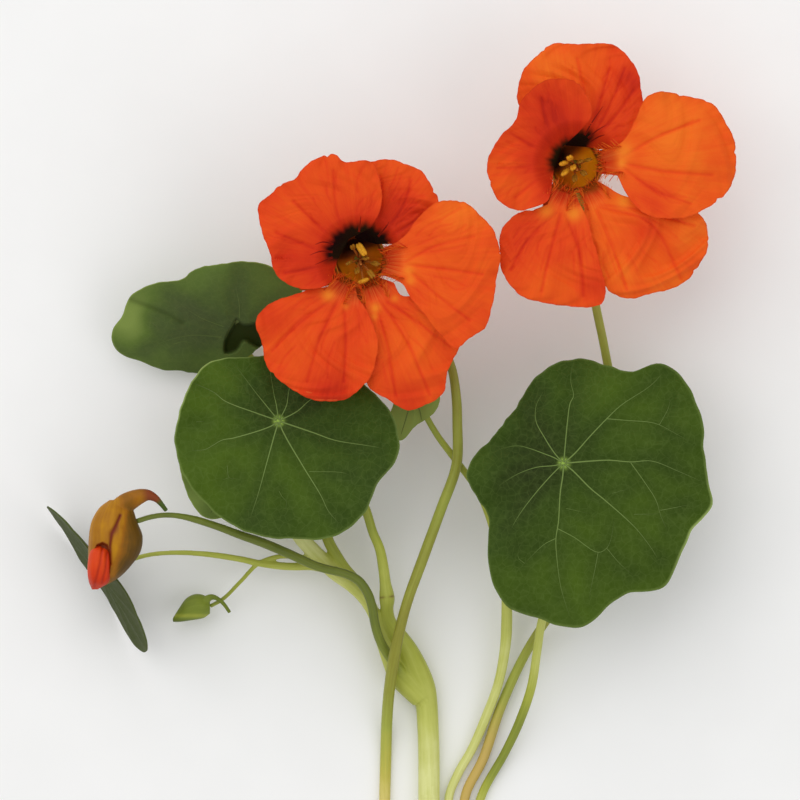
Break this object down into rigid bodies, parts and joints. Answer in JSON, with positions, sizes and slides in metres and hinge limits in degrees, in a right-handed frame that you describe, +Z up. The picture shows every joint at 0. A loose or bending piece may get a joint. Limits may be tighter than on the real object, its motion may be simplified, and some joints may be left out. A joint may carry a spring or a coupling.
{
  "type": "nasturtium bunch",
  "caption": "Cut nasturtium stems laid down as a loose bunch, with open ruffled blooms, buds, round peltate leaves and bare cut stem ends.",
  "frame": {"origin": "centre of the bunch's bounding box on the surface it lies on", "axes": "+Z up, away from the surface and towards the faces of the blooms; +Y from the cut stem ends towards the blooms; +X to the right seen from above"},
  "size_m": [0.1585, 0.1807, 0.0414],
  "materials": {
    "stem": "satin, moist",
    "stalk": "satin",
    "leaf": "soft sheen",
    "leaf_pale": "soft sheen",
    "petal": "velvety",
    "calyx": "satin",
    "stamen": "dull",
    "bud_green": "satin"
  },
  "bodies": {
    "root": {"shoot_stem": "stem", "bloom_left_stalk": "stalk", "bloom_right_stalk": "stalk", "leaf_small_stalk": "stem", "leaf_front_right_stalk": "stem", "leaf_front_left": "leaf", "leaf_front_right": "leaf", "leaf_back_left": "leaf_pale", "leaf_under_left": "leaf_pale", "leaf_small": "leaf_pale", "leaf_edge_on": "leaf_pale", "bloom_left_calyx": "calyx", "bloom_left_petal_upper_right": "petal", "bloom_left_petal_upper_left": "petal", "bloom_left_petal_right": "petal", "bloom_left_petal_lower_middle": "petal", "bloom_left_petal_lower_left": "petal", "bloom_left_stamens": "stamen", "bloom_right_calyx": "calyx", "bloom_right_petal_top": "petal", "bloom_right_petal_left": "petal", "bloom_right_petal_right": "petal", "bloom_right_petal_lower_right": "petal", "bloom_right_petal_lower_left": "petal", "bloom_right_stamens": "stamen", "bud_large_sepals": "calyx", "bud_large_petals": "petal", "bud_small": "bud_green"}
  },
  "joints": []
}
